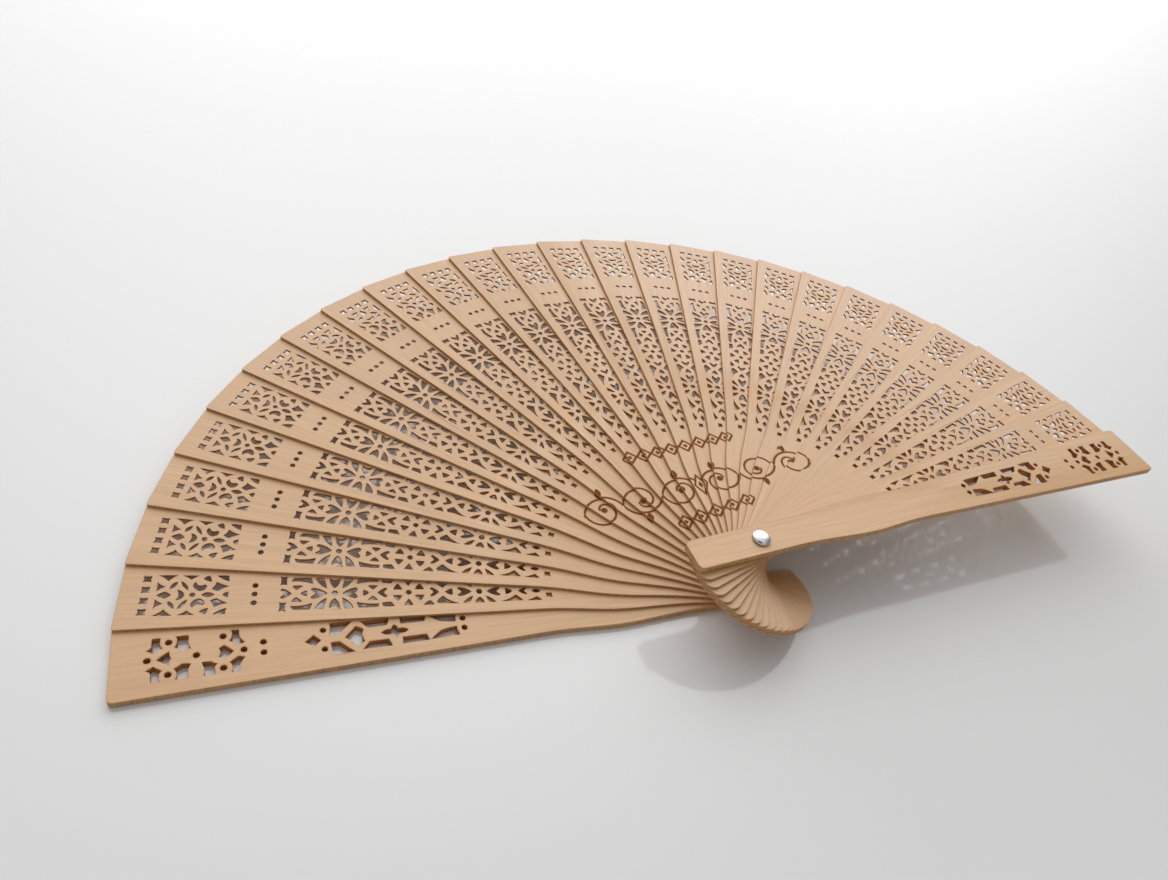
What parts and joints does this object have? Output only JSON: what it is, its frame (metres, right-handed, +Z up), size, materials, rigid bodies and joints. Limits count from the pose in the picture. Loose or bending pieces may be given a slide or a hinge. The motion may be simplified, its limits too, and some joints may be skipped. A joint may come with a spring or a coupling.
{
  "type": "hand fan",
  "caption": "Wooden brise folding hand fan: overlapping pierced sticks on one rivet between two thicker guards, held evenly spread by a ribbon on the back.",
  "frame": {"origin": "on the rivet's axis, at the level of the back guard's underside, on which the fan lies", "axes": "+Z up along the rivet, out of the front guard; +Y along the middle of the open spread; +X towards the front guard's end"},
  "size_m": [0.359, 0.204, 0.03],
  "materials": {
    "guard_wood": "bare fine-sanded wood with scorched laser-cut edges",
    "blade_wood": "bare fine-sanded wood with scorched laser-cut edges",
    "rivet_steel": "bright nickel plate",
    "ribbon_fabric": "narrow woven satin ribbon"
  },
  "bodies": {
    "back_guard": {"back_guard": "guard_wood", "rivet_post": "rivet_steel", "rivet_cap": "rivet_steel"},
    "front_guard": {"front_guard": "guard_wood", "stay_ribbon_26": "ribbon_fabric"},
    "blade_01": {"blade_01": "blade_wood", "stay_ribbon_01": "ribbon_fabric"},
    "blade_02": {"blade_02": "blade_wood", "stay_ribbon_02": "ribbon_fabric"},
    "blade_03": {"blade_03": "blade_wood", "stay_ribbon_03": "ribbon_fabric"},
    "blade_04": {"blade_04": "blade_wood", "stay_ribbon_04": "ribbon_fabric"},
    "blade_05": {"blade_05": "blade_wood", "stay_ribbon_05": "ribbon_fabric"},
    "blade_06": {"blade_06": "blade_wood", "stay_ribbon_06": "ribbon_fabric"},
    "blade_07": {"blade_07": "blade_wood", "stay_ribbon_07": "ribbon_fabric"},
    "blade_08": {"blade_08": "blade_wood", "stay_ribbon_08": "ribbon_fabric"},
    "blade_09": {"blade_09": "blade_wood", "stay_ribbon_09": "ribbon_fabric"},
    "blade_10": {"blade_10": "blade_wood", "stay_ribbon_10": "ribbon_fabric"},
    "blade_11": {"blade_11": "blade_wood", "stay_ribbon_11": "ribbon_fabric"},
    "blade_12": {"blade_12": "blade_wood", "stay_ribbon_12": "ribbon_fabric"},
    "blade_13": {"blade_13": "blade_wood", "stay_ribbon_13": "ribbon_fabric"},
    "blade_14": {"blade_14": "blade_wood", "stay_ribbon_14": "ribbon_fabric"},
    "blade_15": {"blade_15": "blade_wood", "stay_ribbon_15": "ribbon_fabric"},
    "blade_16": {"blade_16": "blade_wood", "stay_ribbon_16": "ribbon_fabric"},
    "blade_17": {"blade_17": "blade_wood", "stay_ribbon_17": "ribbon_fabric"},
    "blade_18": {"blade_18": "blade_wood", "stay_ribbon_18": "ribbon_fabric"},
    "blade_19": {"blade_19": "blade_wood", "stay_ribbon_19": "ribbon_fabric"},
    "blade_20": {"blade_20": "blade_wood", "stay_ribbon_20": "ribbon_fabric"},
    "blade_21": {"blade_21": "blade_wood", "stay_ribbon_21": "ribbon_fabric"},
    "blade_22": {"blade_22": "blade_wood", "stay_ribbon_22": "ribbon_fabric"},
    "blade_23": {"blade_23": "blade_wood", "stay_ribbon_23": "ribbon_fabric"},
    "blade_24": {"blade_24": "blade_wood", "stay_ribbon_24": "ribbon_fabric"},
    "blade_25": {"blade_25": "blade_wood", "stay_ribbon_25": "ribbon_fabric"}
  },
  "joints": [
    {"name": "fan_fold", "type": "hinge", "parent": "back_guard", "child": "front_guard", "pos_m": [0, 0, 0.028], "axis": [0, 0, 1], "range_deg": [0, 172], "deforming": ["stay_ribbon_26"]},
    {"name": "blade_01_turn", "type": "hinge", "parent": "back_guard", "child": "blade_01", "pos_m": [0, 0, 0.0024], "axis": [0, 0, 1], "range_deg": [0, 6.62], "deforming": ["stay_ribbon_01"]},
    {"name": "blade_02_turn", "type": "hinge", "parent": "back_guard", "child": "blade_02", "pos_m": [0, 0, 0.00335], "axis": [0, 0, 1], "range_deg": [0, 13.24], "deforming": ["stay_ribbon_02"]},
    {"name": "blade_03_turn", "type": "hinge", "parent": "back_guard", "child": "blade_03", "pos_m": [0, 0, 0.0043], "axis": [0, 0, 1], "range_deg": [0, 19.86], "deforming": ["stay_ribbon_03"]},
    {"name": "blade_04_turn", "type": "hinge", "parent": "back_guard", "child": "blade_04", "pos_m": [0, 0, 0.00525], "axis": [0, 0, 1], "range_deg": [0, 26.47], "deforming": ["stay_ribbon_04"]},
    {"name": "blade_05_turn", "type": "hinge", "parent": "back_guard", "child": "blade_05", "pos_m": [0, 0, 0.0062], "axis": [0, 0, 1], "range_deg": [0, 33.09], "deforming": ["stay_ribbon_05"]},
    {"name": "blade_06_turn", "type": "hinge", "parent": "back_guard", "child": "blade_06", "pos_m": [0, 0, 0.00715], "axis": [0, 0, 1], "range_deg": [0, 39.7], "deforming": ["stay_ribbon_06"]},
    {"name": "blade_07_turn", "type": "hinge", "parent": "back_guard", "child": "blade_07", "pos_m": [0, 0, 0.0081], "axis": [0, 0, 1], "range_deg": [0, 46.32], "deforming": ["stay_ribbon_07"]},
    {"name": "blade_08_turn", "type": "hinge", "parent": "back_guard", "child": "blade_08", "pos_m": [0, 0, 0.00905], "axis": [0, 0, 1], "range_deg": [0, 52.93], "deforming": ["stay_ribbon_08"]},
    {"name": "blade_09_turn", "type": "hinge", "parent": "back_guard", "child": "blade_09", "pos_m": [0, 0, 0.01], "axis": [0, 0, 1], "range_deg": [0, 59.55], "deforming": ["stay_ribbon_09"]},
    {"name": "blade_10_turn", "type": "hinge", "parent": "back_guard", "child": "blade_10", "pos_m": [0, 0, 0.01095], "axis": [0, 0, 1], "range_deg": [0, 66.16], "deforming": ["stay_ribbon_10"]},
    {"name": "blade_11_turn", "type": "hinge", "parent": "back_guard", "child": "blade_11", "pos_m": [0, 0, 0.0119], "axis": [0, 0, 1], "range_deg": [0, 72.78], "deforming": ["stay_ribbon_11"]},
    {"name": "blade_12_turn", "type": "hinge", "parent": "back_guard", "child": "blade_12", "pos_m": [0, 0, 0.01285], "axis": [0, 0, 1], "range_deg": [0, 79.39], "deforming": ["stay_ribbon_12"]},
    {"name": "blade_13_turn", "type": "hinge", "parent": "back_guard", "child": "blade_13", "pos_m": [0, 0, 0.0138], "axis": [0, 0, 1], "range_deg": [0, 86.01], "deforming": ["stay_ribbon_13"]},
    {"name": "blade_14_turn", "type": "hinge", "parent": "back_guard", "child": "blade_14", "pos_m": [0, 0, 0.01475], "axis": [0, 0, 1], "range_deg": [0, 92.62], "deforming": ["stay_ribbon_14"]},
    {"name": "blade_15_turn", "type": "hinge", "parent": "back_guard", "child": "blade_15", "pos_m": [0, 0, 0.0157], "axis": [0, 0, 1], "range_deg": [0, 99.24], "deforming": ["stay_ribbon_15"]},
    {"name": "blade_16_turn", "type": "hinge", "parent": "back_guard", "child": "blade_16", "pos_m": [0, 0, 0.01665], "axis": [0, 0, 1], "range_deg": [0, 105.86], "deforming": ["stay_ribbon_16"]},
    {"name": "blade_17_turn", "type": "hinge", "parent": "back_guard", "child": "blade_17", "pos_m": [0, 0, 0.0176], "axis": [0, 0, 1], "range_deg": [0, 112.47], "deforming": ["stay_ribbon_17"]},
    {"name": "blade_18_turn", "type": "hinge", "parent": "back_guard", "child": "blade_18", "pos_m": [0, 0, 0.01855], "axis": [0, 0, 1], "range_deg": [0, 119.09], "deforming": ["stay_ribbon_18"]},
    {"name": "blade_19_turn", "type": "hinge", "parent": "back_guard", "child": "blade_19", "pos_m": [0, 0, 0.0195], "axis": [0, 0, 1], "range_deg": [0, 125.7], "deforming": ["stay_ribbon_19"]},
    {"name": "blade_20_turn", "type": "hinge", "parent": "back_guard", "child": "blade_20", "pos_m": [0, 0, 0.02045], "axis": [0, 0, 1], "range_deg": [0, 132.32], "deforming": ["stay_ribbon_20"]},
    {"name": "blade_21_turn", "type": "hinge", "parent": "back_guard", "child": "blade_21", "pos_m": [0, 0, 0.0214], "axis": [0, 0, 1], "range_deg": [0, 138.93], "deforming": ["stay_ribbon_21"]},
    {"name": "blade_22_turn", "type": "hinge", "parent": "back_guard", "child": "blade_22", "pos_m": [0, 0, 0.02235], "axis": [0, 0, 1], "range_deg": [0, 145.55], "deforming": ["stay_ribbon_22"]},
    {"name": "blade_23_turn", "type": "hinge", "parent": "back_guard", "child": "blade_23", "pos_m": [0, 0, 0.0233], "axis": [0, 0, 1], "range_deg": [0, 152.16], "deforming": ["stay_ribbon_23"]},
    {"name": "blade_24_turn", "type": "hinge", "parent": "back_guard", "child": "blade_24", "pos_m": [0, 0, 0.02425], "axis": [0, 0, 1], "range_deg": [0, 158.78], "deforming": ["stay_ribbon_24"]},
    {"name": "blade_25_turn", "type": "hinge", "parent": "back_guard", "child": "blade_25", "pos_m": [0, 0, 0.0252], "axis": [0, 0, 1], "range_deg": [0, 165.4], "deforming": ["stay_ribbon_25"]}
  ],
  "couplings": [
    {"joint": "blade_01_turn", "follows": "fan_fold", "ratio": 0.038462},
    {"joint": "blade_02_turn", "follows": "fan_fold", "ratio": 0.076923},
    {"joint": "blade_03_turn", "follows": "fan_fold", "ratio": 0.11538},
    {"joint": "blade_04_turn", "follows": "fan_fold", "ratio": 0.15385},
    {"joint": "blade_05_turn", "follows": "fan_fold", "ratio": 0.19231},
    {"joint": "blade_06_turn", "follows": "fan_fold", "ratio": 0.23077},
    {"joint": "blade_07_turn", "follows": "fan_fold", "ratio": 0.26923},
    {"joint": "blade_08_turn", "follows": "fan_fold", "ratio": 0.30769},
    {"joint": "blade_09_turn", "follows": "fan_fold", "ratio": 0.34615},
    {"joint": "blade_10_turn", "follows": "fan_fold", "ratio": 0.38462},
    {"joint": "blade_11_turn", "follows": "fan_fold", "ratio": 0.42308},
    {"joint": "blade_12_turn", "follows": "fan_fold", "ratio": 0.46154},
    {"joint": "blade_13_turn", "follows": "fan_fold", "ratio": 0.5},
    {"joint": "blade_14_turn", "follows": "fan_fold", "ratio": 0.53846},
    {"joint": "blade_15_turn", "follows": "fan_fold", "ratio": 0.57692},
    {"joint": "blade_16_turn", "follows": "fan_fold", "ratio": 0.61538},
    {"joint": "blade_17_turn", "follows": "fan_fold", "ratio": 0.65385},
    {"joint": "blade_18_turn", "follows": "fan_fold", "ratio": 0.69231},
    {"joint": "blade_19_turn", "follows": "fan_fold", "ratio": 0.73077},
    {"joint": "blade_20_turn", "follows": "fan_fold", "ratio": 0.76923},
    {"joint": "blade_21_turn", "follows": "fan_fold", "ratio": 0.80769},
    {"joint": "blade_22_turn", "follows": "fan_fold", "ratio": 0.84615},
    {"joint": "blade_23_turn", "follows": "fan_fold", "ratio": 0.88462},
    {"joint": "blade_24_turn", "follows": "fan_fold", "ratio": 0.92308},
    {"joint": "blade_25_turn", "follows": "fan_fold", "ratio": 0.96154}
  ]
}
